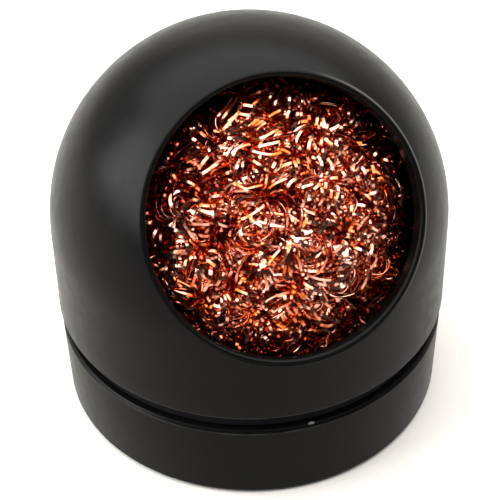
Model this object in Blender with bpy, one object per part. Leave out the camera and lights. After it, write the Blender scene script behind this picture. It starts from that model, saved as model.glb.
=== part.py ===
"""Soldering-tip cleaner: a ball-shaped hood with a slanted mouth, on a drum base filled with wire wool.

The object stands on z = 0 with its axis along +Z, and the mouth looks towards -Y. Everything is turned
about that axis except the mouth, which is bored towards the middle of the ball, and the three screws.
"""

import math

import bmesh
import bpy
from mathutils import Matrix, Vector

MM = 0.001

# Driving dimensions, in metres
HOOD_RADIUS = 35.0 * MM
HOOD_WALL = 3.0 * MM
HOOD_BOTTOM_Z = 19.2 * MM
BALL_CENTRE_Z = 36.3 * MM

MOUTH_RADIUS = 22.9 * MM
MOUTH_ELEVATION = math.radians(34.7)
LIP_ROUND = 0.65 * MM
MOUTH_PLUG_START = 12.6 * MM

BASE_TOP_RADIUS = 34.7 * MM
BASE_BOTTOM_RADIUS = 34.3 * MM
BASE_TOP_Z = 16.1 * MM
BASE_BOTTOM_Z = 0.5 * MM
FLOOR_THICKNESS = 3.3 * MM
SPIGOT_RADIUS = 31.6 * MM
SPIGOT_TOP_Z = 24.2 * MM
WELL_RADIUS = 30.0 * MM

RING_RADIUS = 33.5 * MM
RING_INNER_RADIUS = 32.0 * MM

HOOD_OUTER_EDGE = 0.8 * MM
HOOD_INNER_EDGE = 0.4 * MM
BASE_CHAMFER_WIDTH = 0.45 * MM
BASE_CHAMFER_HEIGHT = 0.6 * MM
BASE_FOOT_EDGE = 0.6 * MM
SPIGOT_EDGE = 0.4 * MM
RING_EDGE = 0.35 * MM

PAD_RADIUS = 31.0 * MM
PAD_THICKNESS = 1.6 * MM
PAD_EDGE = 0.3 * MM

BALLAST_RADIUS = 28.5 * MM
BALLAST_THICKNESS = 4.0 * MM
BALLAST_EDGE = 0.4 * MM
SCREW_CIRCLE_RADIUS = 18.0 * MM
SCREW_COUNT = 3
SHANK_RADIUS = 1.25 * MM
SHANK_LENGTH = 3.8 * MM
HEAD_RADIUS = 2.5 * MM
HEAD_THICKNESS = 1.5 * MM
SOCKET_RADIUS = 1.0 * MM
SOCKET_DEPTH = 0.9 * MM
SCREW_EDGE = 0.3 * MM

TRAY_RADIUS = 29.6 * MM
TRAY_SHEET = 0.6 * MM
TRAY_HEIGHT = 6.5 * MM
TRAY_CORNER = 2.0 * MM
TRAY_LIFT = 0.5 * MM

WOOL_WELL_RADIUS = 28.3 * MM
WOOL_SIDE_RADIUS = 30.4 * MM
WOOL_CROWN_RADIUS = 28.8 * MM
WOOL_SWELL_HEIGHT = 3.0 * MM
WOOL_EYE_RADIUS = 2.9 * MM
RIBBON_WIDTH = 4.2 * MM
RIBBON_THICKNESS = 0.5 * MM
RIBBON_PITCH = 5.0 * MM
RIBBON_STEPS_A_TURN = 26
WOOL_SIDE_STEPS = 40
WOOL_CROWN_STEPS = 90

GAP = 0.3 * MM
CUTTER_EXTRA = 1.0 * MM

HOOD_STEPS = 64
BASE_STEPS = 72
PLAIN_STEPS = 48
SCREW_STEPS = 16

# Heights that follow from the driving dimensions
PAD_SEAT_Z = PAD_THICKNESS + GAP
WELL_FLOOR_Z = PAD_SEAT_Z + FLOOR_THICKNESS
BALLAST_BOTTOM_Z = WELL_FLOOR_Z + GAP
BALLAST_TOP_Z = BALLAST_BOTTOM_Z + BALLAST_THICKNESS
SCREW_SEAT_Z = BALLAST_TOP_Z - HEAD_THICKNESS - GAP
TRAY_BOTTOM_Z = BALLAST_TOP_Z + TRAY_LIFT
WOOL_BOTTOM_Z = TRAY_BOTTOM_Z + TRAY_SHEET + GAP


def clear_scene():
    for old in list(bpy.data.objects):
        bpy.data.objects.remove(old, do_unlink=True)


def principled(name, colour, roughness, metallic):
    material = bpy.data.materials.new(name)
    material.use_nodes = True
    shader = material.node_tree.nodes["Principled BSDF"]
    shader.inputs["Base Color"].default_value = (*colour, 1.0)
    shader.inputs["Roughness"].default_value = roughness
    shader.inputs["Metallic"].default_value = metallic
    return material


def arc(centre, radius, start_deg, end_deg, steps):
    """Points of a profile along an arc about centre, both ends included."""
    points = []
    for i in range(steps + 1):
        angle = math.radians(start_deg + (end_deg - start_deg) * i / steps)
        points.append((centre[0] + radius * math.cos(angle), centre[1] + radius * math.sin(angle)))
    return points


def turned_mesh(name, profile, steps, closed_profile):
    """A solid of revolution about Z. An open profile starts and ends on the axis."""
    bm = bmesh.new()
    verts = [bm.verts.new((r, 0.0, z)) for r, z in profile]
    edges = [bm.edges.new(pair) for pair in zip(verts, verts[1:])]
    if closed_profile:
        edges.append(bm.edges.new((verts[-1], verts[0])))
    bmesh.ops.spin(
        bm,
        geom=verts + edges,
        cent=(0.0, 0.0, 0.0),
        axis=(0.0, 0.0, 1.0),
        angle=math.tau,
        steps=steps,
        use_duplicate=False,
    )
    bmesh.ops.remove_doubles(bm, verts=bm.verts, dist=0.001 * MM)
    bmesh.ops.dissolve_degenerate(bm, edges=bm.edges, dist=0.001 * MM)
    bmesh.ops.recalc_face_normals(bm, faces=bm.faces)
    mesh = bpy.data.meshes.new(name)
    bm.to_mesh(mesh)
    bm.free()
    return mesh


def smooth(mesh, angle_deg=35.0):
    mesh.shade_smooth()
    mesh.set_sharp_from_angle(angle=math.radians(angle_deg))


def link_object(name, mesh):
    obj = bpy.data.objects.new(name, mesh)
    bpy.context.scene.collection.objects.link(obj)
    return obj


def add_object(name, mesh, material):
    smooth(mesh)
    mesh.materials.append(material)
    return link_object(name, mesh)


def add_cutter(name, mesh, target):
    """Bore the target with a mesh that is left out of the model itself."""
    cutter = link_object(name, mesh)
    cutter.hide_render = True
    cutter.display_type = "WIRE"
    boolean = target.modifiers.new(name, "BOOLEAN")
    boolean.operation = "DIFFERENCE"
    boolean.solver = "EXACT"
    boolean.object = cutter
    return cutter


def mouth_cutter_mesh():
    """A plug turned about +Z from the ball's middle, flared so that the lip it leaves is rounded.

    The flare is an arc tangent to the bore and to the ball. Its centre is LIP_ROUND outside the bore and
    LIP_ROUND inside the ball's surface, and beyond the ball the plug widens straight away from the middle.
    """
    round_centre_r = MOUTH_RADIUS + LIP_ROUND
    round_centre_distance = HOOD_RADIUS - LIP_ROUND
    round_centre_t = math.sqrt(round_centre_distance ** 2 - round_centre_r ** 2)
    ball_angle = math.degrees(math.atan2(round_centre_t, round_centre_r))
    flare = arc((round_centre_r, round_centre_t), LIP_ROUND, 180.0, ball_angle, 5)
    overshoot = 1.0 + 3.0 * CUTTER_EXTRA / HOOD_RADIUS
    rim_r, rim_t = flare[-1]
    top_t = HOOD_RADIUS + 3.0 * CUTTER_EXTRA
    profile = [(0.0, MOUTH_PLUG_START), (MOUTH_RADIUS, MOUTH_PLUG_START)] + flare
    profile += [(rim_r * overshoot, rim_t * overshoot), (rim_r * overshoot, top_t), (0.0, top_t)]
    return turned_mesh("mouth_cutter", profile, HOOD_STEPS, closed_profile=False)


def hood_profile():
    """Outer and inner half circles with straight skirts, rounded at the bottom edges."""
    inner_radius = HOOD_RADIUS - HOOD_WALL
    crown = arc((0.0, BALL_CENTRE_Z), HOOD_RADIUS, 90.0, 0.0, 16)
    hollow = arc((0.0, BALL_CENTRE_Z), inner_radius, 0.0, 90.0, 12)
    outer_middle = (HOOD_RADIUS - HOOD_OUTER_EDGE, HOOD_BOTTOM_Z + HOOD_OUTER_EDGE)
    inner_middle = (inner_radius + HOOD_INNER_EDGE, HOOD_BOTTOM_Z + HOOD_INNER_EDGE)
    outer_foot = arc(outer_middle, HOOD_OUTER_EDGE, 0.0, -90.0, 4)
    inner_foot = arc(inner_middle, HOOD_INNER_EDGE, -90.0, -180.0, 2)
    crown[0] = (0.0, crown[0][1])
    hollow[-1] = (0.0, hollow[-1][1])
    return crown + outer_foot + inner_foot + hollow


def make_hood(material):
    """The ball-shaped hood, open below, with its slanted mouth."""
    mesh = turned_mesh("hood_shell", hood_profile(), HOOD_STEPS, closed_profile=False)
    hood = add_object("hood_shell", mesh, material)
    cutter = add_cutter("mouth_cutter", mouth_cutter_mesh(), hood)
    cutter.location = (0.0, 0.0, BALL_CENTRE_Z)
    cutter.rotation_euler = (math.pi / 2.0 - MOUTH_ELEVATION, 0.0, 0.0)
    return hood


def make_seam_ring(material):
    """The rubber ring on the base's shoulder, which the hood rests on."""
    bottom = BASE_TOP_Z + GAP
    top = HOOD_BOTTOM_Z - GAP
    outer = RING_RADIUS - RING_EDGE
    profile = arc((outer, top - RING_EDGE), RING_EDGE, 90.0, 0.0, 2)
    profile += arc((outer, bottom + RING_EDGE), RING_EDGE, 0.0, -90.0, 2)
    profile += [(RING_INNER_RADIUS, bottom), (RING_INNER_RADIUS, top)]
    mesh = turned_mesh("seam_ring", profile, BASE_STEPS, closed_profile=True)
    return add_object("seam_ring", mesh, material)


def screw_places():
    """Each screw's place about the axis, the first one towards +Y."""
    places = []
    for i in range(SCREW_COUNT):
        angle = math.pi / 2.0 + math.tau * i / SCREW_COUNT
        places.append(SCREW_CIRCLE_RADIUS * Vector((math.cos(angle), math.sin(angle), 0.0)))
    return places


def copies_at(name, mesh, places):
    """One mesh that holds a copy of the given mesh at each place."""
    bm = bmesh.new()
    for place in places:
        first = len(bm.verts)
        bm.from_mesh(mesh)
        bm.verts.ensure_lookup_table()
        bmesh.ops.translate(bm, verts=bm.verts[first:], vec=place)
    joined = bpy.data.meshes.new(name)
    bm.to_mesh(joined)
    bm.free()
    return joined


def screw_hole_mesh(name, bottom_z, top_z, seat_z=None):
    """Bores for all the screws, wider above seat_z where a head is sunk."""
    hole = SHANK_RADIUS + GAP
    sink = HEAD_RADIUS + GAP
    profile = [(0.0, top_z)]
    if seat_z is None:
        profile += [(hole, top_z)]
    else:
        profile += [(sink, top_z), (sink, seat_z), (hole, seat_z)]
    profile += [(hole, bottom_z), (0.0, bottom_z)]
    return copies_at(name, turned_mesh(name, profile, SCREW_STEPS, closed_profile=False), screw_places())


def base_profile():
    """The drum with its shoulder and spigot, the well inside and the pad's recess below."""
    spigot_round_z = SPIGOT_TOP_Z - SPIGOT_EDGE
    outer_foot = (BASE_BOTTOM_RADIUS - BASE_FOOT_EDGE, BASE_BOTTOM_Z + BASE_FOOT_EDGE)
    recess_radius = PAD_RADIUS + GAP
    profile = [(0.0, WELL_FLOOR_Z), (WELL_RADIUS, WELL_FLOOR_Z)]
    profile += arc((WELL_RADIUS + SPIGOT_EDGE, spigot_round_z), SPIGOT_EDGE, 180.0, 90.0, 2)
    profile += arc((SPIGOT_RADIUS - SPIGOT_EDGE, spigot_round_z), SPIGOT_EDGE, 90.0, 0.0, 2)
    profile += [(SPIGOT_RADIUS, BASE_TOP_Z), (BASE_TOP_RADIUS - BASE_CHAMFER_WIDTH, BASE_TOP_Z)]
    profile += [(BASE_TOP_RADIUS, BASE_TOP_Z - BASE_CHAMFER_HEIGHT)]
    profile += arc(outer_foot, BASE_FOOT_EDGE, 0.0, -90.0, 3)
    profile += [(recess_radius, BASE_BOTTOM_Z), (recess_radius, PAD_SEAT_Z), (0.0, PAD_SEAT_Z)]
    return profile


def make_base(material):
    """The drum-shaped base, with blind holes for the ballast screws."""
    mesh = turned_mesh("base_cup", base_profile(), BASE_STEPS, closed_profile=False)
    base = add_object("base_cup", mesh, material)
    hole_bottom = SCREW_SEAT_Z - SHANK_LENGTH - GAP
    add_cutter("base_holes", screw_hole_mesh("base_holes", hole_bottom, WELL_FLOOR_Z + CUTTER_EXTRA), base)
    return base


def make_foot_pad(material):
    """The rubber disc that the whole object stands on."""
    profile = [(0.0, PAD_THICKNESS), (PAD_RADIUS, PAD_THICKNESS), (PAD_RADIUS, PAD_EDGE)]
    profile += [(PAD_RADIUS - PAD_EDGE, 0.0), (0.0, 0.0)]
    mesh = turned_mesh("foot_pad", profile, PLAIN_STEPS, closed_profile=False)
    return add_object("foot_pad", mesh, material)


def make_ballast(material):
    """The steel weight on the well's floor, with sunk holes for its screws."""
    profile = [(0.0, BALLAST_TOP_Z), (BALLAST_RADIUS - BALLAST_EDGE, BALLAST_TOP_Z)]
    profile += [(BALLAST_RADIUS, BALLAST_TOP_Z - BALLAST_EDGE), (BALLAST_RADIUS, BALLAST_BOTTOM_Z)]
    profile += [(0.0, BALLAST_BOTTOM_Z)]
    mesh = turned_mesh("ballast_disc", profile, PLAIN_STEPS, closed_profile=False)
    disc = add_object("ballast_disc", mesh, material)
    low = BALLAST_BOTTOM_Z - CUTTER_EXTRA
    high = BALLAST_TOP_Z + CUTTER_EXTRA
    add_cutter("ballast_holes", screw_hole_mesh("ballast_holes", low, high, SCREW_SEAT_Z - GAP), disc)
    return disc


def make_screws(material):
    """Three cap screws with round sockets, heads sunk level with the weight's top."""
    top = SCREW_SEAT_Z + HEAD_THICKNESS
    tip = SCREW_SEAT_Z - SHANK_LENGTH
    profile = [(0.0, top - SOCKET_DEPTH), (SOCKET_RADIUS, top - SOCKET_DEPTH), (SOCKET_RADIUS, top)]
    profile += [(HEAD_RADIUS - SCREW_EDGE, top), (HEAD_RADIUS, top - SCREW_EDGE)]
    profile += [(HEAD_RADIUS, SCREW_SEAT_Z), (SHANK_RADIUS, SCREW_SEAT_Z)]
    profile += [(SHANK_RADIUS, tip + SCREW_EDGE), (SHANK_RADIUS - SCREW_EDGE, tip), (0.0, tip)]
    mesh = turned_mesh("ballast_screw", profile, SCREW_STEPS, closed_profile=False)
    smooth(mesh)
    mesh.materials.append(material)
    for number, place in enumerate(screw_places(), start=1):
        screw = link_object(f"ballast_screw_{number}", mesh)
        screw.location = place


def make_tray(material):
    """The pressed tray that catches solder drops: a flat floor, a curved corner and a plain rim."""
    top = TRAY_BOTTOM_Z + TRAY_HEIGHT
    middle = (TRAY_RADIUS - TRAY_CORNER, TRAY_BOTTOM_Z + TRAY_CORNER)
    profile = [(0.0, TRAY_BOTTOM_Z)]
    profile += arc(middle, TRAY_CORNER, -90.0, 0.0, 3)
    profile += [(TRAY_RADIUS, top), (TRAY_RADIUS - TRAY_SHEET, top)]
    profile += arc(middle, TRAY_CORNER - TRAY_SHEET, 0.0, -90.0, 3)
    profile += [(0.0, TRAY_BOTTOM_Z + TRAY_SHEET)]
    mesh = turned_mesh("dross_tray", profile, PLAIN_STEPS, closed_profile=False)
    return add_object("dross_tray", mesh, material)


def smoothstep(value):
    value = min(max(value, 0.0), 1.0)
    return value * value * (3.0 - 2.0 * value)


def wool_outline():
    """The nest's outline from the well's floor to the crown, as a chain of close points (r, z)."""
    start_z = WOOL_BOTTOM_Z + RIBBON_WIDTH / 2.0
    points = []
    for i in range(WOOL_SIDE_STEPS):
        z = start_z + (BALL_CENTRE_Z - start_z) * i / WOOL_SIDE_STEPS
        swell = smoothstep((z - SPIGOT_TOP_Z) / WOOL_SWELL_HEIGHT)
        points.append((WOOL_WELL_RADIUS + (WOOL_SIDE_RADIUS - WOOL_WELL_RADIUS) * swell, z))
    for i in range(WOOL_CROWN_STEPS):
        angle = math.pi / 2.0 * i / WOOL_CROWN_STEPS
        crown_z = BALL_CENTRE_Z + WOOL_CROWN_RADIUS * math.sin(angle)
        points.append((WOOL_SIDE_RADIUS * math.cos(angle), crown_z))
    return [point for point in points if point[0] > WOOL_EYE_RADIUS]


def point_along(points, distance):
    """The point at a distance along a chain, and the chain's direction there."""
    for (r0, z0), (r1, z1) in zip(points, points[1:]):
        step = math.hypot(r1 - r0, z1 - z0)
        if distance <= step:
            break
        distance -= step
    part = min(distance / step, 1.0)
    point = (r0 + (r1 - r0) * part, z0 + (z1 - z0) * part)
    return point, ((r1 - r0) / step, (z1 - z0) / step)


def make_wool(material):
    """The nest as one flat ribbon wound up its outline like an apple's peel, about as heavy as the nest."""
    outline = wool_outline()
    length = sum(math.dist(a, b) for a, b in zip(outline, outline[1:]))
    turns = length / RIBBON_PITCH
    steps = round(turns * RIBBON_STEPS_A_TURN)
    half_width = RIBBON_WIDTH / 2.0
    half_thickness = RIBBON_THICKNESS / 2.0
    bm = bmesh.new()
    rings = []
    for i in range(steps + 1):
        (r, z), (along_r, along_z) = point_along(outline, length * i / steps)
        turn = Matrix.Rotation(math.tau * turns * i / steps, 3, "Z")
        corners = []
        for across, out in ((-1, -1), (1, -1), (1, 1), (-1, 1)):
            corner_r = r + along_r * half_width * across + along_z * half_thickness * out
            corner_z = z + along_z * half_width * across - along_r * half_thickness * out
            corners.append(bm.verts.new(turn @ Vector((corner_r, 0.0, corner_z))))
        rings.append(corners)
    for near, far in zip(rings, rings[1:]):
        for k in range(4):
            bm.faces.new((near[k], near[(k + 1) % 4], far[(k + 1) % 4], far[k]))
    bm.faces.new(rings[0])
    bm.faces.new(rings[-1])
    bmesh.ops.recalc_face_normals(bm, faces=bm.faces)
    mesh = bpy.data.meshes.new("wire_wool")
    bm.to_mesh(mesh)
    bm.free()
    return add_object("wire_wool", mesh, material)


def main():
    clear_scene()
    satin_black = principled("satin_black", (0.020, 0.020, 0.022), 0.38, 0.0)
    black_rubber = principled("black_rubber", (0.012, 0.012, 0.013), 0.75, 0.0)
    plain_steel = principled("plain_steel", (0.52, 0.52, 0.53), 0.35, 1.0)
    tinned_steel = principled("tinned_steel", (0.62, 0.62, 0.60), 0.28, 1.0)
    wool_metal = principled("wool_metal", (0.80, 0.36, 0.18), 0.22, 1.0)
    make_base(satin_black)
    make_foot_pad(black_rubber)
    make_ballast(plain_steel)
    make_screws(plain_steel)
    make_tray(tinned_steel)
    make_wool(wool_metal)
    make_seam_ring(black_rubber)
    make_hood(satin_black)


main()
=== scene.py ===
import math

import bmesh
import bpy
import numpy as np
from mathutils import Matrix, Vector


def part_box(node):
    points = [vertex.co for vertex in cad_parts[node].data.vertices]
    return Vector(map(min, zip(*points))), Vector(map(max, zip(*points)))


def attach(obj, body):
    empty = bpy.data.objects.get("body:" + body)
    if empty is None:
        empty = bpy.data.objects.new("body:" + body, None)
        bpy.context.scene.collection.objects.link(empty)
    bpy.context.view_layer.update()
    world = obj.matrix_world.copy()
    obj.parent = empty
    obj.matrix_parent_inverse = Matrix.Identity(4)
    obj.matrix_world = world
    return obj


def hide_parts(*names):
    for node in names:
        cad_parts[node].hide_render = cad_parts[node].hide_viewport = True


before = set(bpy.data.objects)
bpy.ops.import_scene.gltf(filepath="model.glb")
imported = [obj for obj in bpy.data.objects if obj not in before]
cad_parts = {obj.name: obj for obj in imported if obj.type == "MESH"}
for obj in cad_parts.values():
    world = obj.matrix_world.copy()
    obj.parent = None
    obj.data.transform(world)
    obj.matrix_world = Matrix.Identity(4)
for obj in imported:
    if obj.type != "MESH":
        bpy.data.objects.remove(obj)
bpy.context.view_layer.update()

MM = 0.001
SEED = 21
TURNED_STEPS = 192

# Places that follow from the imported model
HOOD_LOW, HOOD_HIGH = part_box("hood_shell")
BASE_LOW, BASE_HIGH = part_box("base_cup")
RING_LOW, RING_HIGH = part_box("seam_ring")
WOOL_LOW, WOOL_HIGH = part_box("wire_wool")
PAD_LOW, PAD_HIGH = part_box("foot_pad")
BALLAST_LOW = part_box("ballast_disc")[0]
SCREW_NUMBERS = (1, 2, 3)
HOOD_RADIUS = (HOOD_HIGH.x - HOOD_LOW.x) / 2.0
BALL_CENTRE = Vector((0.0, 0.0, HOOD_HIGH.z - HOOD_RADIUS))

# The mouth, bored towards the ball's middle
MOUTH_ELEVATION = math.radians(34.7)
MOUTH_AXIS = Vector((0.0, -math.cos(MOUTH_ELEVATION), math.sin(MOUTH_ELEVATION)))
MOUTH_RADIUS = 22.9 * MM
LIP_ROUND = 0.65 * MM
LIP_EDGE_RADIUS = (MOUTH_RADIUS + LIP_ROUND) * HOOD_RADIUS / (HOOD_RADIUS - LIP_ROUND)
LIP_EDGE_HEIGHT = math.sqrt(HOOD_RADIUS ** 2 - LIP_EDGE_RADIUS ** 2)
MOUTH_PLUG_START = 12.6 * MM
MOUTH_PLUG_OVERRUN = 3.0 * MM

# The rest of the hood
HOOD_WALL = 3.0 * MM
HOOD_OUTER_EDGE = 0.8 * MM
HOOD_INNER_EDGE = 0.4 * MM

# Base and ring
BASE_TOP_RADIUS = (BASE_HIGH.x - BASE_LOW.x) / 2.0
BASE_BOTTOM_RADIUS = BASE_TOP_RADIUS - 0.4 * MM
BASE_TOP_Z = 16.1 * MM
BASE_CHAMFER_WIDTH = 0.45 * MM
BASE_CHAMFER_HEIGHT = 0.6 * MM
BASE_INNER_CORNER_ROUND = 0.12 * MM
BASE_OUTER_CORNER_ROUND = 0.15 * MM
BASE_FOOT_EDGE = 0.6 * MM
SPIGOT_RADIUS = 31.6 * MM
SPIGOT_EDGE = 0.4 * MM
WELL_RADIUS = 30.0 * MM
SCREW_HOLE_RADIUS = 1.55 * MM
RING_RADIUS = (RING_HIGH.x - RING_LOW.x) / 2.0
RING_INNER_RADIUS = 32.0 * MM
RING_EDGE = 0.35 * MM
GAP = 0.3 * MM

# Marks on the case: edges lightened by rubbing and by a painted highlight, a painted highlight line along
# the lip, and a chip on the base's shoulder
HOOD_RUB_AND_HIGHLIGHT_HEIGHT = 0.25 * MM
HOOD_RUB_AND_HIGHLIGHT_HALF_WIDTH = 0.5 * MM
SHOULDER_RUB_AND_HIGHLIGHT_HALF_WIDTH = 0.2 * MM
FOOT_RUB_AND_HIGHLIGHT_HEIGHT = 0.2 * MM
FOOT_RUB_AND_HIGHLIGHT_HALF_WIDTH = 0.4 * MM
# The lip's painted highlight line: its half width, the clock angle it lies towards, and where it starts and
# reaches full strength
LIP_HIGHLIGHT_HALF_WIDTH = 0.33 * MM
LIP_HIGHLIGHT_CLOCK = 80.0
LIP_HIGHLIGHT_START = 11.0 * MM
LIP_HIGHLIGHT_FULL = 20.0 * MM
CHIP_AZIMUTH = 0.4
CHIP_SIZE = (0.75 * MM, 0.5 * MM, 0.22 * MM)

# Wire wool: its outline, its surface and its coils
WELL_TOP_Z = BASE_HIGH.z
WOOL_WELL_RADIUS = 28.2 * MM
WOOL_SIDE_RADIUS = 30.4 * MM
WOOL_CROWN_RADIUS = WOOL_HIGH.z - BALL_CENTRE.z
WOOL_SWELL_HEIGHT = 3.0 * MM
WOOL_SURFACE_RADIUS = 29.0 * MM
LUMP_DEPTH = 0.9 * MM
LOWEST_COIL_Z = WOOL_LOW.z + 3.0 * MM
WALK_CENTRE_Z = BALL_CENTRE.z - 6.0 * MM
WALK_STEP = 0.5 * MM
WALK_WANDER = 0.10
DIVE_DEPTH = 0.8 * MM
SHARE_ON_SIDE = 0.38
COIL_SHAKE = 0.22 * MM
STEPS_A_TURN_IN_MOUTH = 22
STEPS_A_TURN_ELSEWHERE = 14
RIBBON_WIDTH = 0.44 * MM
RIBBON_THICKNESS = 0.06 * MM
CORE_SIDE_RADIUS = 29.0 * MM
CORE_CROWN_RADIUS = 28.0 * MM
CORE_FOOT_GAP = 1.0 * MM
CORE_DEPTH = 7.4 * MM

# Camera, looking from a direction round the ball's middle
CAMERA_AZIMUTH_DEG = -16.3
CAMERA_ELEVATION_DEG = 39.6
CAMERA_DISTANCE = 8.24 * HOOD_RADIUS
CAMERA_TILT_DOWN = math.radians(41.03)
CAMERA_ROLL = math.radians(-1.15)
CAMERA_LENS = 117.5

# Softboxes: name, azimuth and elevation in degrees, distance, width and height in metres, power in watts
SOFTBOXES = [
    ("softbox_roof", 165.3, 83.0, 0.66, (1.5, 1.3), 36.0),
    ("softbox_left", -98.0, 26.0, 0.95, (0.8, 0.55), 18.0),
]

# Brightness of the room's sides, and of the darker corner behind the object to the left
WALL_LEFT = (0.84, 0.81, 0.77, 1.0)
WALL_RIGHT = (0.66, 0.63, 0.59, 1.0)
WALL_BACK = (1.85, 1.74, 1.62, 1.0)
WALL_FRONT = (0.06, 0.06, 0.06, 1.0)
WALL_CORNER = (0.62, 0.60, 0.58, 1.0)
CORNER_AZIMUTH_DEG = -150.0
CORNER_ELEVATION_DEG = 16.0
FRONT_RISE = 0.9


# ---------------------------------------------------------------- directions


def direction(azimuth_deg, elevation_deg):
    """A way out from the object: azimuth 0 is the mouth's side, 90 its right."""
    azimuth = math.radians(azimuth_deg)
    elevation = math.radians(elevation_deg)
    flat = math.cos(elevation)
    return Vector((math.sin(azimuth) * flat, -math.cos(azimuth) * flat, math.sin(elevation)))


def mouth_way(clock_deg):
    """A way across the mouth: 0 is up its slope, 90 to its right."""
    clock = math.radians(clock_deg)
    up = Vector((0.0, math.sin(MOUTH_ELEVATION), math.cos(MOUTH_ELEVATION)))
    return Vector((1.0, 0.0, 0.0)) * math.sin(clock) + up * math.cos(clock)


# ---------------------------------------------------------------- node helpers


def new_material(name):
    material = bpy.data.materials.new(name)
    material.use_nodes = True
    return material, material.node_tree, material.node_tree.nodes["Principled BSDF"]


def feed(tree, socket, value):
    """Link an input to another node's output, or set it to a plain value."""
    if isinstance(value, bpy.types.NodeSocket):
        tree.links.new(value, socket)
    elif value is not None:
        socket.default_value = value


def add_node(tree, kind, **inputs):
    """A node with the named inputs linked or set."""
    node = tree.nodes.new(kind)
    for key, value in inputs.items():
        feed(tree, node.inputs[key], value)
    return node


def object_point(tree):
    return tree.nodes.new("ShaderNodeTexCoord").outputs["Object"]


def noise(tree, scale, detail, roughness=0.5, distortion=0.0, vector=None):
    """Random grey between nothing and one, fixed to the object unless another vector is given."""
    node = add_node(tree, "ShaderNodeTexNoise", Scale=scale, Detail=detail, Roughness=roughness)
    feed(tree, node.inputs["Distortion"], distortion)
    feed(tree, node.inputs["Vector"], vector or object_point(tree))
    return node.outputs["Fac"]


def remap(tree, value, low, high, to_low, to_high):
    """A smooth step from to_low to to_high while the value goes from low to high."""
    node = tree.nodes.new("ShaderNodeMapRange")
    node.interpolation_type = "SMOOTHSTEP"
    tree.links.new(value, node.inputs["Value"])
    for key, number in (("From Min", low), ("From Max", high), ("To Min", to_low), ("To Max", to_high)):
        node.inputs[key].default_value = number
    return node.outputs["Result"]


def maths(tree, operation, a, b=None):
    node = tree.nodes.new("ShaderNodeMath")
    node.operation = operation
    feed(tree, node.inputs[0], a)
    feed(tree, node.inputs[1], b)
    return node.outputs["Value"]


def vector_maths(tree, operation, a, b):
    node = tree.nodes.new("ShaderNodeVectorMath")
    node.operation = operation
    feed(tree, node.inputs[0], a)
    feed(tree, node.inputs[1], b)
    return node


def mix_colour(tree, factor, a, b):
    """Colour a where the factor is nothing, colour b where it is one."""
    node = tree.nodes.new("ShaderNodeMix")
    node.data_type = "RGBA"
    feed(tree, node.inputs["Factor"], factor)
    feed(tree, node.inputs[6], a)
    feed(tree, node.inputs[7], b)
    return node.outputs[2]


def bump(tree, shader, height, distance, strength):
    node = add_node(tree, "ShaderNodeBump", Height=height, Distance=distance, Strength=strength)
    tree.links.new(node.outputs["Normal"], shader.inputs["Normal"])


def rgb(*values):
    return (*values, 1.0)


# ---------------------------------------------------------------- materials


def near_point(tree, place, sizes):
    """One at a point of the object, falling to nothing at its own size away along each axis."""
    offset = vector_maths(tree, "SUBTRACT", object_point(tree), tuple(place)).outputs["Vector"]
    shares = vector_maths(tree, "DIVIDE", offset, sizes).outputs["Vector"]
    distance = vector_maths(tree, "LENGTH", shares, (0.0, 0.0, 0.0)).outputs["Value"]
    return remap(tree, distance, 0.45, 1.0, 1.0, 0.0)


def near_height(tree, height, half_width):
    """One at a height on the object, falling to nothing half_width above and below it."""
    split = tree.nodes.new("ShaderNodeSeparateXYZ")
    tree.links.new(object_point(tree), split.inputs["Vector"])
    away = maths(tree, "ABSOLUTE", maths(tree, "SUBTRACT", split.outputs["Z"], height))
    return remap(tree, away, 0.0, half_width, 1.0, 0.0)


def dust_specks(tree, scale, size, rarity):
    """A few small round specks, one in some of the cells."""
    cells = add_node(tree, "ShaderNodeTexVoronoi", Vector=object_point(tree), Scale=scale)
    split = tree.nodes.new("ShaderNodeSeparateColor")
    tree.links.new(cells.outputs["Color"], split.inputs["Color"])
    chosen = maths(tree, "GREATER_THAN", split.outputs["Red"], rarity)
    dot = remap(tree, cells.outputs["Distance"], size * 0.6, size, 1.0, 0.0)
    return maths(tree, "MULTIPLY", chosen, dot)


def near_lip(tree, half_width):
    """Where the lip's painted highlight goes: one along the outer edge of the mouth's lip on its right,
    falling to nothing half_width away.
    """
    offset = vector_maths(tree, "SUBTRACT", object_point(tree), tuple(BALL_CENTRE)).outputs["Vector"]
    along = vector_maths(tree, "DOT_PRODUCT", offset, tuple(MOUTH_AXIS)).outputs["Value"]
    across = vector_maths(tree, "CROSS_PRODUCT", offset, tuple(MOUTH_AXIS)).outputs["Vector"]
    radius = vector_maths(tree, "LENGTH", across, (0.0, 0.0, 0.0)).outputs["Value"]
    radius_off = maths(tree, "SUBTRACT", radius, LIP_EDGE_RADIUS)
    along_off = maths(tree, "SUBTRACT", along, LIP_EDGE_HEIGHT)
    squares = maths(tree, "ADD", maths(tree, "MULTIPLY", radius_off, radius_off),
                    maths(tree, "MULTIPLY", along_off, along_off))
    line = remap(tree, maths(tree, "SQRT", squares), 0.3 * half_width, half_width, 1.0, 0.0)
    right = vector_maths(tree, "DOT_PRODUCT", offset, tuple(mouth_way(LIP_HIGHLIGHT_CLOCK))).outputs["Value"]
    return maths(tree, "MULTIPLY", line, remap(tree, right, LIP_HIGHLIGHT_START, LIP_HIGHLIGHT_FULL, 0.0, 1.0))


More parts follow.
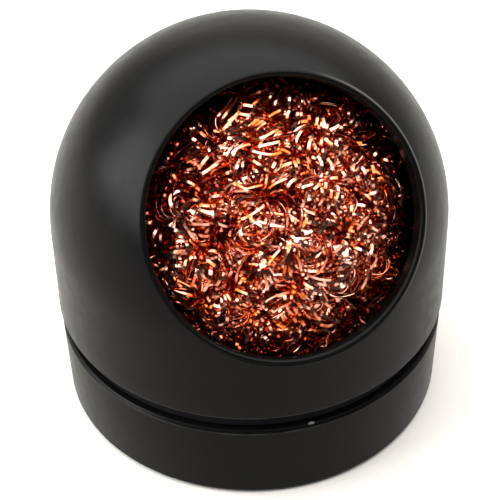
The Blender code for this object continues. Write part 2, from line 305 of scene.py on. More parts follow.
def satin_black(name, rub_and_highlight_masks, marks_and_highlights):
    """Satin black case: fine grain, slow changes of gloss, faintly lighter edges (rubbed, with a painted
    highlight), light marks (a chip, a painted highlight line) and dust.
    """
    material, tree, shader = new_material(name)
    slow = noise(tree, 55.0, 3.0)
    grain = noise(tree, 2600.0, 2.0)
    rub_and_highlight_noise = remap(tree, noise(tree, 260.0, 3.0, 0.6), 0.3, 0.6, 0.35, 1.0)
    edges = None
    for mask in rub_and_highlight_masks(tree):
        edges = mask if edges is None else maths(tree, "MAXIMUM", edges, mask)
    worn_and_highlight = maths(tree, "MULTIPLY", edges, rub_and_highlight_noise)
    colour = mix_colour(tree, slow, rgb(0.0012, 0.0012, 0.0012), rgb(0.0026, 0.0025, 0.0024))
    # Edges painted lighter: rubbed wear together with a painted highlight line
    colour = mix_colour(tree, worn_and_highlight, colour, rgb(0.019, 0.0185, 0.018))
    specks = dust_specks(tree, 330.0, 0.07, 0.985)
    colour = mix_colour(tree, maths(tree, "MULTIPLY", specks, 0.35), colour, rgb(0.30, 0.29, 0.27))
    # Light marks over the colour: a chip on the base, and a painted highlight line on the hood's lip
    for mask, mark_colour in marks_and_highlights(tree):
        colour = mix_colour(tree, mask, colour, mark_colour)
    tree.links.new(colour, shader.inputs["Base Color"])
    shader.inputs["Specular IOR Level"].default_value = 0.06
    gloss = remap(tree, noise(tree, 420.0, 4.0, 0.6), 0.3, 0.7, 0.29, 0.36)
    tree.links.new(gloss, shader.inputs["Roughness"])
    bump(tree, shader, grain, 0.012 * MM, 0.6)
    return material


# The hood's bottom edge: rubbed, and painted lighter as a highlight line
def hood_rub_and_highlight_edges(tree):
    return [near_height(tree, HOOD_LOW.z + HOOD_RUB_AND_HIGHLIGHT_HEIGHT, HOOD_RUB_AND_HIGHLIGHT_HALF_WIDTH)]


def hood_lip_highlight(tree):
    """A painted highlight: a light line painted along the lip's outer edge, on its right."""
    return [(near_lip(tree, LIP_HIGHLIGHT_HALF_WIDTH), rgb(0.056, 0.054, 0.048))]


def base_marks(tree):
    """A small chip on the inner corner of the base's chamfer, near the front."""
    chip_radius = BASE_TOP_RADIUS - BASE_CHAMFER_WIDTH
    chip = direction(CHIP_AZIMUTH, 0.0) * chip_radius + Vector((0.0, 0.0, BASE_TOP_Z))
    return [(near_point(tree, chip, CHIP_SIZE), rgb(0.115, 0.115, 0.105))]


# The base's chamfer corner and foot edge: rubbed, and painted lighter as a highlight line
def base_rub_and_highlight_edges(tree):
    corner = near_height(tree, BASE_TOP_Z - BASE_CHAMFER_HEIGHT, SHOULDER_RUB_AND_HIGHLIGHT_HALF_WIDTH)
    foot = near_height(tree, BASE_LOW.z + FOOT_RUB_AND_HIGHLIGHT_HEIGHT, FOOT_RUB_AND_HIGHLIGHT_HALF_WIDTH)
    return [corner, foot]


def black_rubber(name, grain_scale):
    """Matt rubber with a fine grain, greyer where dust sits in it."""
    material, tree, shader = new_material(name)
    dust = remap(tree, noise(tree, 300.0, 5.0, 0.7), 0.45, 0.75, 0.0, 1.0)
    colour = mix_colour(tree, dust, rgb(0.0020, 0.0016, 0.0026), rgb(0.0050, 0.0044, 0.0058))
    tree.links.new(colour, shader.inputs["Base Color"])
    shader.inputs["Specular IOR Level"].default_value = 0.06
    tree.links.new(remap(tree, dust, 0.0, 1.0, 0.72, 0.9), shader.inputs["Roughness"])
    bump(tree, shader, noise(tree, grain_scale, 3.0), 0.03 * MM, 0.8)
    return material


def turned_steel(name, colour_low, colour_high, ring_scale):
    """Steel with the fine circular marks of a lathe about the object's axis, and light stains."""
    material, tree, shader = new_material(name)
    shader.inputs["Metallic"].default_value = 1.0
    across = vector_maths(tree, "MULTIPLY", object_point(tree), (1.0, 1.0, 0.0)).outputs["Vector"]
    radius = vector_maths(tree, "LENGTH", across, (0.0, 0.0, 0.0)).outputs["Value"]
    rings = add_node(tree, "ShaderNodeCombineXYZ", X=radius)
    marks = noise(tree, ring_scale, 4.0, 0.7, vector=rings.outputs["Vector"])
    stain = noise(tree, 160.0, 5.0, 0.65)
    colour = mix_colour(tree, stain, colour_low, colour_high)
    colour = mix_colour(tree, maths(tree, "MULTIPLY", marks, 0.25), colour, rgb(0.75, 0.75, 0.74))
    tree.links.new(colour, shader.inputs["Base Color"])
    tree.links.new(remap(tree, stain, 0.3, 0.7, 0.28, 0.46), shader.inputs["Roughness"])
    bump(tree, shader, marks, 0.02 * MM, 0.5)
    return material


def tinplate(name):
    """Bright pressed tinplate with grey solder smears and amber flux spots on it."""
    material, tree, shader = new_material(name)
    shader.inputs["Metallic"].default_value = 1.0
    smear = remap(tree, noise(tree, 240.0, 5.0, 0.7, 0.6), 0.5, 0.7, 0.0, 1.0)
    flux = remap(tree, noise(tree, 420.0, 3.0, 0.6), 0.62, 0.7, 0.0, 0.8)
    colour = mix_colour(tree, smear, rgb(0.60, 0.60, 0.58), rgb(0.36, 0.36, 0.37))
    colour = mix_colour(tree, flux, colour, rgb(0.30, 0.15, 0.05))
    tree.links.new(colour, shader.inputs["Base Color"])
    tree.links.new(remap(tree, smear, 0.0, 1.0, 0.22, 0.5), shader.inputs["Roughness"])
    bump(tree, shader, smear, 0.05 * MM, 0.5)
    return material


def copper_ribbon(name):
    """Bright copper-coloured ribbon: peach to red-brown along the curls, and painted darker and redder with
    depth as painted shade among the coils.
    """
    material, tree, shader = new_material(name)
    shader.inputs["Metallic"].default_value = 1.0
    slow = remap(tree, noise(tree, 260.0, 3.0, 0.6), 0.36, 0.68, 0.0, 1.0)
    quick = noise(tree, 1500.0, 3.0, 0.6)
    offset = vector_maths(tree, "SUBTRACT", object_point(tree), tuple(BALL_CENTRE)).outputs["Vector"]
    out = vector_maths(tree, "LENGTH", offset, (0.0, 0.0, 0.0)).outputs["Value"]
    # Painted shade: deeper in the nest the colour turns to the dark red of light lost between the coils
    outer = remap(tree, out, 24.0 * MM, 28.6 * MM, 0.25, 1.0)
    bright = mix_colour(tree, slow, rgb(0.50, 0.082, 0.015), rgb(0.74, 0.41, 0.31))
    colour = mix_colour(tree, outer, rgb(0.50, 0.045, 0.007), bright)
    tarnish = remap(tree, quick, 0.6, 0.78, 0.0, 0.7)
    colour = mix_colour(tree, tarnish, colour, rgb(0.36, 0.045, 0.006))
    tree.links.new(colour, shader.inputs["Base Color"])
    tree.links.new(remap(tree, quick, 0.3, 0.7, 0.11, 0.23), shader.inputs["Roughness"])
    shader.inputs["Specular Tint"].default_value = rgb(1.0, 0.5, 0.35)
    bump(tree, shader, noise(tree, 5200.0, 2.0), 0.01 * MM, 0.5)
    return material


def deep_copper(name):
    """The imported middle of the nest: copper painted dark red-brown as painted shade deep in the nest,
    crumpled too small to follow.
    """
    material, tree, shader = new_material(name)
    shader.inputs["Metallic"].default_value = 1.0
    crumple = noise(tree, 900.0, 4.0, 0.7, 1.5)
    colour = mix_colour(tree, crumple, rgb(0.16, 0.010, 0.002), rgb(0.62, 0.070, 0.010))
    tree.links.new(colour, shader.inputs["Base Color"])
    tree.links.new(remap(tree, crumple, 0.3, 0.7, 0.35, 0.6), shader.inputs["Roughness"])
    bump(tree, shader, crumple, 0.6 * MM, 1.0)
    return material


def pale_floor(name):
    """Pale grey studio surface, lit to white, with a barely seen mottle."""
    material, tree, shader = new_material(name)
    colour = mix_colour(tree, noise(tree, 6.0, 3.0), rgb(0.445, 0.43, 0.405), rgb(0.46, 0.445, 0.42))
    tree.links.new(colour, shader.inputs["Base Color"])
    shader.inputs["Roughness"].default_value = 0.8
    shader.inputs["Specular IOR Level"].default_value = 0.15
    return material


# ---------------------------------------------------------------- shape helpers


def arc(centre, radius, start_deg, end_deg, steps):
    """Points along an arc in an outline, both ends among them."""
    points = []
    for i in range(steps + 1):
        angle = math.radians(start_deg + (end_deg - start_deg) * i / steps)
        points.append((centre[0] + radius * math.cos(angle), centre[1] + radius * math.sin(angle)))
    return points


def rounded_corner(corner, radius, start_deg, end_deg):
    """An arc in place of an outline's corner, from one line's outward direction to the next line's."""
    middle = math.radians((start_deg + end_deg) / 2.0)
    back = radius / math.cos(math.radians(abs(start_deg - end_deg) / 2.0))
    centre = (corner[0] - back * math.cos(middle), corner[1] - back * math.sin(middle))
    return arc(centre, radius, start_deg, end_deg, 4)


def turned_mesh(name, profile, steps):
    """A solid of revolution about Z. Its outline starts and ends on the axis, or is a closed loop."""
    bm = bmesh.new()
    verts = [bm.verts.new((r, 0.0, z)) for r, z in profile]
    edges = [bm.edges.new(pair) for pair in zip(verts, verts[1:])]
    bmesh.ops.spin(bm, geom=verts + edges, cent=(0, 0, 0), axis=(0, 0, 1), angle=math.tau, steps=steps)
    bmesh.ops.remove_doubles(bm, verts=bm.verts, dist=0.001 * MM)
    bmesh.ops.dissolve_degenerate(bm, edges=bm.edges, dist=0.001 * MM)
    bmesh.ops.recalc_face_normals(bm, faces=bm.faces)
    mesh = bpy.data.meshes.new(name)
    bm.to_mesh(mesh)
    bm.free()
    return mesh


def link(name, mesh):
    obj = bpy.data.objects.new(name, mesh)
    bpy.context.scene.collection.objects.link(obj)
    return obj


def finish_mesh(obj, material, angle_deg):
    obj.data.materials.clear()
    obj.data.materials.append(material)
    obj.data.shade_smooth()
    obj.data.set_sharp_from_angle(angle=math.radians(angle_deg))


def bore(target, plug):
    """Take the plug's shape out of the target, then drop the plug."""
    boolean = target.modifiers.new("bore", "BOOLEAN")
    boolean.operation = "DIFFERENCE"
    boolean.solver = "EXACT"
    boolean.object = plug
    bpy.context.view_layer.update()
    cut = bpy.data.meshes.new_from_object(target.evaluated_get(bpy.context.evaluated_depsgraph_get()))
    target.modifiers.clear()
    target.data = cut
    target.data.name = target.name
    bpy.data.objects.remove(plug)


# ---------------------------------------------------------------- hood


def hood_outline():
    """Half a ball on a straight skirt, open below, down its outside and up its inside."""
    inner_radius = HOOD_RADIUS - HOOD_WALL
    centre_z = BALL_CENTRE.z
    low = HOOD_LOW.z
    outer_edge = (HOOD_RADIUS - HOOD_OUTER_EDGE, low + HOOD_OUTER_EDGE)
    inner_edge = (inner_radius + HOOD_INNER_EDGE, low + HOOD_INNER_EDGE)
    outline = arc((0.0, centre_z), HOOD_RADIUS, 90.0, 0.0, 64)
    outline += [(HOOD_RADIUS, low + (centre_z - low) * part) for part in (0.75, 0.5, 0.25)]
    outline += arc(outer_edge, HOOD_OUTER_EDGE, 0.0, -90.0, 10)
    outline += arc(inner_edge, HOOD_INNER_EDGE, -90.0, -180.0, 4)
    outline += arc((0.0, centre_z), inner_radius, 0.0, 90.0, 40)
    outline[0] = (0.0, outline[0][1])
    outline[-1] = (0.0, outline[-1][1])
    return outline


def mouth_plug_outline():
    """The bore about the mouth's axis, flared by an arc tangent to the bore and to the ball."""
    round_r = MOUTH_RADIUS + LIP_ROUND
    round_t = math.sqrt((HOOD_RADIUS - LIP_ROUND) ** 2 - round_r ** 2)
    ball_angle = math.degrees(math.atan2(round_t, round_r))
    flare = arc((round_r, round_t), LIP_ROUND, 180.0, ball_angle, 12)
    start_t = MOUTH_PLUG_START
    top_t = HOOD_RADIUS + MOUTH_PLUG_OVERRUN
    stretch = top_t / HOOD_RADIUS
    outer = (flare[-1][0] * stretch, flare[-1][1] * stretch)
    return [(0.0, start_t), (MOUTH_RADIUS, start_t)] + flare + [outer, (outer[0], top_t), (0.0, top_t)]


def make_hood_ball(material):
    """The hood at its packed size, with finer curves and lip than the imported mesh."""
    hood = link("hood_ball", turned_mesh("hood_ball", hood_outline(), TURNED_STEPS))
    plug = link("mouth_plug", turned_mesh("mouth_plug", mouth_plug_outline(), TURNED_STEPS))
    plug.location = BALL_CENTRE
    plug.rotation_euler = (math.pi / 2.0 - MOUTH_ELEVATION, 0.0, 0.0)
    bore(hood, plug)
    finish_mesh(hood, material, 35.0)
    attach(hood, "hood")
    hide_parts("hood_shell")


# ---------------------------------------------------------------- base and ring


def base_outline():
    """The drum with its shoulder and spigot, the well inside and the pad's recess below."""
    well_floor = BALLAST_LOW.z - GAP
    pad_seat = PAD_HIGH.z + GAP
    recess = (PAD_HIGH.x - PAD_LOW.x) / 2.0 + GAP
    spigot_round_z = BASE_HIGH.z - SPIGOT_EDGE
    outer_foot = (BASE_BOTTOM_RADIUS - BASE_FOOT_EDGE, BASE_LOW.z + BASE_FOOT_EDGE)
    outline = [(0.0, well_floor), (WELL_RADIUS, well_floor)]
    outline += arc((WELL_RADIUS + SPIGOT_EDGE, spigot_round_z), SPIGOT_EDGE, 180.0, 90.0, 6)
    outline += arc((SPIGOT_RADIUS - SPIGOT_EDGE, spigot_round_z), SPIGOT_EDGE, 90.0, 0.0, 6)
    outline += [(SPIGOT_RADIUS, BASE_TOP_Z)]
    slope = math.degrees(math.atan2(BASE_CHAMFER_WIDTH, BASE_CHAMFER_HEIGHT))
    inner_corner = (BASE_TOP_RADIUS - BASE_CHAMFER_WIDTH, BASE_TOP_Z)
    outer_corner = (BASE_TOP_RADIUS, BASE_TOP_Z - BASE_CHAMFER_HEIGHT)
    outline += rounded_corner(inner_corner, BASE_INNER_CORNER_ROUND, 90.0, slope)
    outline += rounded_corner(outer_corner, BASE_OUTER_CORNER_ROUND, slope, 0.0)
    outline += arc(outer_foot, BASE_FOOT_EDGE, 0.0, -90.0, 6)
    outline += [(recess, BASE_LOW.z), (recess, pad_seat), (0.0, pad_seat)]
    return outline


def make_base_drum(material):
    """The base at its packed size with finer curves, and with its blind holes for the three screws."""
    drum = link("base_drum", turned_mesh("base_drum", base_outline(), TURNED_STEPS))
    for number in SCREW_NUMBERS:
        low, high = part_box(f"ballast_screw_{number}")
        middle = (low + high) / 2.0
        top = BALLAST_LOW.z
        bottom = low.z - GAP
        outline = [(0.0, top), (SCREW_HOLE_RADIUS, top), (SCREW_HOLE_RADIUS, bottom), (0.0, bottom)]
        plug = link("screw_plug", turned_mesh("screw_plug", outline, 32))
        plug.location = (middle.x, middle.y, 0.0)
        bore(drum, plug)
    finish_mesh(drum, material, 35.0)
    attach(drum, "base")
    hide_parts("base_cup")


def make_shoulder_ring(material):
    """The rubber ring at its packed size with finer curves."""
    outer = RING_RADIUS - RING_EDGE
    outline = arc((outer, RING_HIGH.z - RING_EDGE), RING_EDGE, 90.0, 0.0, 6)
    outline += arc((outer, RING_LOW.z + RING_EDGE), RING_EDGE, 0.0, -90.0, 6)
    outline += [(RING_INNER_RADIUS, RING_LOW.z), (RING_INNER_RADIUS, RING_HIGH.z), outline[0]]
    ring = link("shoulder_ring", turned_mesh("shoulder_ring", outline, TURNED_STEPS))
    finish_mesh(ring, material, 35.0)
    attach(ring, "ring")
    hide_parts("seam_ring")


# ---------------------------------------------------------------- wire wool


def wool_limit(points):
    """How far out each point is, as a share of the nest's outline there: 1 on it, 0 in the middle."""
    x, y, z = points[:, 0], points[:, 1], points[:, 2]
    flat = np.hypot(x, y)
    swell = np.clip((z - WELL_TOP_Z) / WOOL_SWELL_HEIGHT, 0.0, 1.0)
    swell = swell * swell * (3.0 - 2.0 * swell)
    side = WOOL_WELL_RADIUS + (WOOL_SIDE_RADIUS - WOOL_WELL_RADIUS) * swell
    rise = np.maximum(z - BALL_CENTRE.z, 0.0) / WOOL_CROWN_RADIUS
    return np.sqrt((flat / side) ** 2 + rise ** 2)


def lumps(points):
    """Slow hills and hollows over the nest, between -1 and 1, from a few crossed waves."""
    x, y, z = (points / MM).T
    wave = np.sin(0.52 * x + 0.31 * y + 1.3) * np.sin(0.44 * z - 0.27 * x + 0.4)
    wave += np.sin(0.61 * y + 0.38 * z + 2.1) * np.sin(0.33 * x - 0.49 * y - 0.7)
    return wave / 2.0


class Hollow:
    """A place in the mouth where the nest lies back, or swells out if its depth is negative.

    It is given by its clock angle about the mouth's axis and its distance from that axis.
    """

    def __init__(self, clock_deg, distance, spread, depth):
        out = math.sqrt(WOOL_SURFACE_RADIUS ** 2 - distance ** 2)
        self.place = np.array(BALL_CENTRE + MOUTH_AXIS * out + mouth_way(clock_deg) * distance)
        self.spread = spread
        self.depth = depth

    def at(self, points):
        away = np.linalg.norm(points - self.place, axis=1)
        return self.depth * np.exp(-((away / self.spread) ** 2))


# clock angle, distance from the mouth's axis, spread, depth
HOLLOWS = [
    Hollow(-50.0, 21.0 * MM, 7.0 * MM, 3.6 * MM),
    Hollow(-85.0, 23.5 * MM, 5.0 * MM, 5.0 * MM),
    Hollow(-15.0, 20.0 * MM, 6.0 * MM, -2.4 * MM),
    Hollow(25.0, 24.0 * MM, 6.0 * MM, 1.0 * MM),
    Hollow(90.0, 24.0 * MM, 6.0 * MM, 0.6 * MM),
    Hollow(195.0, 17.0 * MM, 10.0 * MM, -1.0 * MM),
    Hollow(-150.0, 20.5 * MM, 6.0 * MM, -1.8 * MM),
    Hollow(-112.0, 18.5 * MM, 4.5 * MM, -1.8 * MM),
]


def surface_depth(points):
    """How deep the nest's own surface lies under its outline at each point, in metres."""
    depth = LUMP_DEPTH * (1.0 - lumps(points))
    for hollow in HOLLOWS:
        depth = depth + hollow.at(points)
    return depth


def walk(rng, start, length, layer):
    """The middle line of one coil: a wandering walk that stays a layer's depth under the surface."""
    count = max(int(length / WALK_STEP), 4)
    centre = np.array([0.0, 0.0, WALK_CENTRE_Z])
    place = np.array(start, float)
    heading = rng.normal(size=3)
    turning = rng.normal() * WALK_WANDER
    dive_rate = rng.uniform(0.25, 0.6) / MM
    dive_phase = rng.uniform(0.0, math.tau)
    path = np.empty((count, 3))
    outward = np.empty((count, 3))
    for i in range(count):
        out = place - centre
        out[2] = max(out[2], 0.0)
        out /= np.linalg.norm(out) + 1e-9
        dive = DIVE_DEPTH * math.sin(dive_rate * i * WALK_STEP + dive_phase)
        depth = layer + dive + surface_depth(place[None])[0]
        want = 1.0 - depth / WOOL_SIDE_RADIUS
        share = wool_limit(place[None])[0]
        axis_point = np.array([0.0, 0.0, min(place[2], BALL_CENTRE.z)])
        place = axis_point + (place - axis_point) * (want / max(share, 1e-6))
        path[i] = place
        outward[i] = out
        heading -= out * heading.dot(out)
        heading /= np.linalg.norm(heading) + 1e-9
        turning += rng.normal() * WALK_WANDER * 0.35
        turning *= 0.96
        side = np.cross(out, heading)
        heading = heading * math.cos(turning) + side * math.sin(turning)
        if place[2] < LOWEST_COIL_Z and heading[2] < 0.0:
            heading[2] = abs(heading[2])
        place = place + heading * WALK_STEP
    return path, outward


def smooth_rows(rows, width):
    kernel = np.ones(width) / width
    padded = np.pad(rows, ((width // 2, width - 1 - width // 2), (0, 0)), mode="edge")
    return np.stack([np.convolve(padded[:, k], kernel, mode="valid") for k in range(rows.shape[1])], axis=1)


def unit_rows(rows):
    return rows / (np.linalg.norm(rows, axis=1, keepdims=True) + 1e-12)


def uneven(rng, share, knots):
    """A smooth random wave along a coil, about one high, through that many random heights."""
    heights = np.clip(rng.normal(size=knots + 3), -2.0, 2.0)
    place = share * (knots - 1)
    first = np.minimum(place.astype(int), knots - 2)
    part = place - first
    before, start, end, after = (heights[first + k] for k in range(4))
    bend = 2.0 * before - 5.0 * start + 4.0 * end - after
    ease = -before + 3.0 * start - 3.0 * end + after
    return start + 0.5 * part * (end - before + part * (bend + part * ease))


def coil_ribbon(rng, path, outward, steps_a_turn, radius, pitch):
    """Corner points of a flat ribbon curled round a path, four to a station."""
    along = np.concatenate([[0.0], np.cumsum(np.linalg.norm(np.diff(path, axis=0), axis=1))])
    total = along[-1]
    stations = max(int(total / pitch * steps_a_turn), 8)
    where = np.linspace(0.0, total, stations)
    line = np.stack([np.interp(where, along, path[:, k]) for k in range(3)], axis=1)
    out = unit_rows(np.stack([np.interp(where, along, outward[:, k]) for k in range(3)], axis=1))
    ahead = unit_rows(np.gradient(line, axis=0))
    out = unit_rows(out - ahead * (out * ahead).sum(1, keepdims=True))
    side = np.cross(ahead, out)

    share = np.linspace(0.0, 1.0, stations)
    waves = rng.integers(2, 6)
    bunching = 0.75 * np.sin(math.tau * (waves * share + rng.uniform()))
    turns = total / pitch
    angle = math.tau * turns * (share + bunching * 0.5 / (math.tau * waves)) + rng.uniform(0.0, math.tau)
    knots = max(int(turns * 1.4), 4)
    size = radius * (1.0 + 0.16 * uneven(rng, share, knots))
    flatten = 0.78 + 0.18 * uneven(rng, share, max(knots // 2, 4))
    lean = rng.uniform(-0.45, 0.45) + 0.35 * uneven(rng, share, max(knots // 2, 4))
    ring = out * (np.cos(angle) * flatten)[:, None] + side * np.sin(angle)[:, None]
    centre = line + ring * size[:, None] + ahead * (np.cos(angle) * lean * size)[:, None]
    for way in (out, side, ahead):
        centre = centre + way * (COIL_SHAKE * uneven(rng, share, knots))[:, None]

    runs = unit_rows(np.gradient(centre, axis=0))
    face = unit_rows(ring - runs * (ring * runs).sum(1, keepdims=True))
    across = np.cross(runs, face)
    twist = rng.uniform(-0.3, 0.3) + 0.45 * uneven(rng, share, knots)
    across_now = across * np.cos(twist)[:, None] + face * np.sin(twist)[:, None]
    face_now = face * np.cos(twist)[:, None] - across * np.sin(twist)[:, None]

    share_out = wool_limit(centre)
    axis_point = np.zeros_like(centre)
    axis_point[:, 2] = np.minimum(centre[:, 2], BALL_CENTRE.z)
    over = np.maximum(share_out, 1.0)[:, None]
    centre = axis_point + (centre - axis_point) / over
    centre[:, 2] = np.maximum(centre[:, 2], WOOL_LOW.z + 0.1 * MM)

    half = across_now * (RIBBON_WIDTH * rng.uniform(0.8, 1.15) / 2.0)
    thick = face_now * (RIBBON_THICKNESS / 2.0)
    corners = [centre - half - thick, centre + half - thick, centre + half + thick, centre - half + thick]
    return np.stack(corners, 1)


def ribbons_mesh(name, ribbons):
    """All the ribbons of one tuft as closed strips in one mesh."""
    verts = []
    faces = []
    base = 0
    for corners in ribbons:
        count = len(corners)
        verts.append(corners.reshape(-1, 3))
        ring = base + 4 * np.arange(count)
        for k in range(4):
            n = (k + 1) % 4
            faces.append(np.stack([ring[:-1] + k, ring[:-1] + n, ring[1:] + n, ring[1:] + k], 1))
        faces.append(np.array([[base + 3, base + 2, base + 1, base]]))
        last = base + 4 * (count - 1)
        faces.append(np.array([[last, last + 1, last + 2, last + 3]]))
        base += 4 * count
    points = np.concatenate(verts)
    quads = np.concatenate(faces)
    mesh = bpy.data.meshes.new(name)
    mesh.vertices.add(len(points))
    mesh.vertices.foreach_set("co", points.astype(np.float32).ravel())
    mesh.loops.add(quads.size)
    mesh.loops.foreach_set("vertex_index", quads.astype(np.int32).ravel())
    mesh.polygons.add(len(quads))
    mesh.polygons.foreach_set("loop_start", np.arange(0, quads.size, 4, dtype=np.int32))
    mesh.update(calc_edges=True)
    return mesh


def in_mouth(place):
    """True where a point is seen through the mouth."""
    offset = Vector(place) - BALL_CENTRE
    return offset.dot(MOUTH_AXIS) > 0.0 and offset.cross(MOUTH_AXIS).length < MOUTH_RADIUS + 3.0 * MM


def random_place(rng):
    """A random place on the nest's outline, on its straight side or on its crown."""
    if rng.uniform() < SHARE_ON_SIDE:
        angle = rng.uniform(0.0, math.tau)
        z = rng.uniform(LOWEST_COIL_Z, BALL_CENTRE.z)
        return (WOOL_SIDE_RADIUS * math.cos(angle), WOOL_SIDE_RADIUS * math.sin(angle), z)
    way = rng.normal(size=3)
    way[2] = abs(way[2])
    way /= np.linalg.norm(way)
    return tuple(np.array(BALL_CENTRE) + way * WOOL_SIDE_RADIUS)


def place_in_mouth(rng):
    while True:
        place = random_place(rng)
        if in_mouth(place):
            return place


def place_behind(rng):
    """A random place on the half of the nest away from the mouth."""
    while True:
        place = random_place(rng)
        if place[1] > 2.0 * MM:
            return place


TUFTS = 12
# layer depth, coils over the whole nest, extra coils in the mouth, length of each coil
LAYERS = [
    (5.8 * MM, 40, 18, 34.0 * MM),
    (4.0 * MM, 50, 30, 30.0 * MM),
    (2.3 * MM, 58, 62, 22.0 * MM),
]
# layer depth, extra coils behind, length of each coil
LAYERS_BEHIND = [
    (5.6 * MM, 36, 26.0 * MM),
    (3.4 * MM, 36, 22.0 * MM),
]
# coil radius and pitch, and how many coils in a hundred are of that kind
CURLS = [
    ((0.9 * MM, 1.4 * MM), (0.9 * MM, 1.7 * MM), 18),
    ((1.4 * MM, 2.2 * MM), (0.9 * MM, 1.8 * MM), 46),
    ((2.2 * MM, 3.0 * MM), (0.8 * MM, 1.5 * MM), 36),
]


def coil(rng, start, layer, length):
    """One curled ribbon of a random kind, on a walk from that place in that layer."""
    path, outward = walk(rng, start, length * rng.uniform(0.6, 1.3), layer)
    path = smooth_rows(path, 5)
    radii, pitches, _ = CURLS[rng.choice(len(CURLS), p=[curl[2] / 100.0 for curl in CURLS])]
    radius = rng.uniform(*radii)
    pitch = rng.uniform(*pitches)
    steps = STEPS_A_TURN_IN_MOUTH if in_mouth(path[len(path) // 2]) else STEPS_A_TURN_ELSEWHERE
    return coil_ribbon(rng, path, outward, steps, radius, pitch)


def make_wool(material, core_material):
    """The nest: coils of curled ribbon in layers round a dark packed middle."""
    tufts = [[] for _ in range(TUFTS)]
    rng = np.random.default_rng(SEED)
    for layer, everywhere, extra, length in LAYERS:
        for number in range(everywhere + extra):
            start = random_place(rng) if number < everywhere else place_in_mouth(rng)
            tufts[number % TUFTS].append(coil(rng, start, layer, length))
    rng = np.random.default_rng(SEED + 1)
    for layer, count, length in LAYERS_BEHIND:
        for number in range(count):
            tufts[number % TUFTS].append(coil(rng, place_behind(rng), layer, length))
    pieces = []
    for number, ribbons in enumerate(tufts, start=1):
        name = f"wool_tuft_{number:02d}"
        tuft = link(name, ribbons_mesh(name, ribbons))
        finish_mesh(tuft, material, 50.0)
        pieces.append(tuft)
    pieces.append(make_wool_core(core_material))
    for piece in pieces:
        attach(piece, "base")
        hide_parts("wire_wool")


def make_wool_core(material):
    """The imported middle, as one lumpy closed body well under the coils."""
    bm = bmesh.new()
    bmesh.ops.create_icosphere(bm, subdivisions=5, radius=1.0)
    for vert in bm.verts:
        way = vert.co.normalized()
        flat = way * CORE_SIDE_RADIUS
        point = np.array([[flat.x, flat.y, BALL_CENTRE.z + way.z * CORE_CROWN_RADIUS]])
        if way.z < 0.0:
            point[0, 2] = BALL_CENTRE.z + way.z * (BALL_CENTRE.z - WOOL_LOW.z - CORE_FOOT_GAP)
            point[0, :2] *= 1.0 / max(math.hypot(way.x, way.y), 0.6)
        share = wool_limit(point)[0]
        depth = CORE_DEPTH + surface_depth(point)[0]
        want = 1.0 - depth / WOOL_SIDE_RADIUS
        scale = min(want / max(share, 1e-6), 1.0)
        vert.co = (point[0, 0] * scale, point[0, 1] * scale, point[0, 2])
        if way.z >= 0.0:
            vert.co.z = BALL_CENTRE.z + (point[0, 2] - BALL_CENTRE.z) * scale
    bmesh.ops.recalc_face_normals(bm, faces=bm.faces)
    mesh = bpy.data.meshes.new("wool_core")
    bm.to_mesh(mesh)
    bm.free()
    core = link("wool_core", mesh)
    finish_mesh(core, material, 180.0)
    return core


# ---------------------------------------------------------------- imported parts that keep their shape


def dress(node, material):
    """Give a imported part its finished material."""
    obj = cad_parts[node]
    for slot in obj.material_slots:
        slot.material = material


# ---------------------------------------------------------------- stage


def make_floor(material):
    bm = bmesh.new()
    bmesh.ops.create_grid(bm, x_segments=1, y_segments=1, size=3.0)
    mesh = bpy.data.meshes.new("floor")
    bm.to_mesh(mesh)
    bm.free()
    floor = link("floor", mesh)
    mesh.materials.append(material)


def add_softbox(name, azimuth_deg, elevation_deg, distance, size, power):
    light = bpy.data.lights.new(name, "AREA")
    light.shape = "RECTANGLE"
    light.size = size[0]
    light.size_y = size[1]
    light.energy = power
    lamp = bpy.data.objects.new(name, light)
    way = direction(azimuth_deg, elevation_deg)
    lamp.location = BALL_CENTRE + way * distance
    lamp.rotation_euler = (-way).to_track_quat("-Z", "Y").to_euler()
    bpy.context.scene.collection.objects.link(lamp)


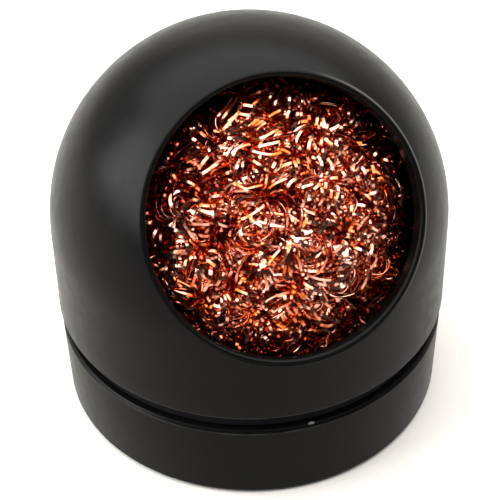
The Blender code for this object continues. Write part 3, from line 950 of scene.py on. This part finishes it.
def make_world():
    """A studio room: bright behind the object, paler on the left than on the right, dark at the camera."""
    world = bpy.data.worlds.new("studio")
    bpy.context.scene.world = world
    world.use_nodes = True
    tree = world.node_tree
    background = tree.nodes["Background"]
    way = tree.nodes.new("ShaderNodeTexCoord").outputs["Generated"]
    front = (direction(CAMERA_AZIMUTH_DEG, 0.0) + Vector((0.0, 0.0, FRONT_RISE))).normalized()
    right = direction(CAMERA_AZIMUTH_DEG + 90.0, 0.0)
    facing = vector_maths(tree, "DOT_PRODUCT", way, tuple(front)).outputs["Value"]
    sideways = vector_maths(tree, "DOT_PRODUCT", way, tuple(right)).outputs["Value"]
    walls = mix_colour(tree, remap(tree, sideways, -1.0, 1.0, 0.0, 1.0), WALL_LEFT, WALL_RIGHT)
    walls = mix_colour(tree, remap(tree, facing, -0.72, -0.25, 1.0, 0.0), walls, WALL_BACK)
    corner = direction(CORNER_AZIMUTH_DEG, CORNER_ELEVATION_DEG)
    near_corner = vector_maths(tree, "DOT_PRODUCT", way, tuple(corner)).outputs["Value"]
    walls = mix_colour(tree, remap(tree, near_corner, 0.82, 0.98, 0.0, 1.0), walls, WALL_CORNER)
    shade = remap(tree, facing, -0.3, 0.3, 0.0, 1.0)
    colour = mix_colour(tree, shade, walls, WALL_FRONT)
    tree.links.new(colour, background.inputs["Color"])
    background.inputs["Strength"].default_value = 1.0


def make_camera():
    data = bpy.data.cameras.new("camera")
    data.lens = CAMERA_LENS
    data.sensor_width = 36.0
    camera = bpy.data.objects.new("camera", data)
    bpy.context.scene.collection.objects.link(camera)
    way = direction(CAMERA_AZIMUTH_DEG, CAMERA_ELEVATION_DEG)
    turn = Matrix.Rotation(math.radians(CAMERA_AZIMUTH_DEG), 4, "Z")
    tilt = Matrix.Rotation(math.pi / 2.0 - CAMERA_TILT_DOWN, 4, "X")
    roll = Matrix.Rotation(CAMERA_ROLL, 4, "Z")
    camera.matrix_world = Matrix.Translation(BALL_CENTRE + way * CAMERA_DISTANCE) @ turn @ tilt @ roll
    bpy.context.scene.camera = camera


def make_stage():
    make_world()
    make_floor(pale_floor("floor_white"))
    for softbox in SOFTBOXES:
        add_softbox(*softbox)
    bpy.context.scene.view_settings.view_transform = "Standard"
    make_camera()


def main():
    make_hood_ball(satin_black("hood_satin_black", hood_rub_and_highlight_edges, hood_lip_highlight))
    make_base_drum(satin_black("base_satin_black", base_rub_and_highlight_edges, base_marks))
    make_shoulder_ring(black_rubber("ring_rubber", 1400.0))
    dress("foot_pad", black_rubber("foot_rubber", 900.0))
    ballast_steel = turned_steel("ballast_steel", rgb(0.36, 0.36, 0.37), rgb(0.56, 0.56, 0.56), 3000.0)
    screw_steel = turned_steel("screw_steel", rgb(0.30, 0.30, 0.32), rgb(0.52, 0.52, 0.53), 5000.0)
    dress("ballast_disc", ballast_steel)
    for number in SCREW_NUMBERS:
        dress(f"ballast_screw_{number}", screw_steel)
    dress("dross_tray", tinplate("tray_tinplate"))
    make_wool(copper_ribbon("copper_ribbon"), deep_copper("deep_copper"))
    make_stage()


main()
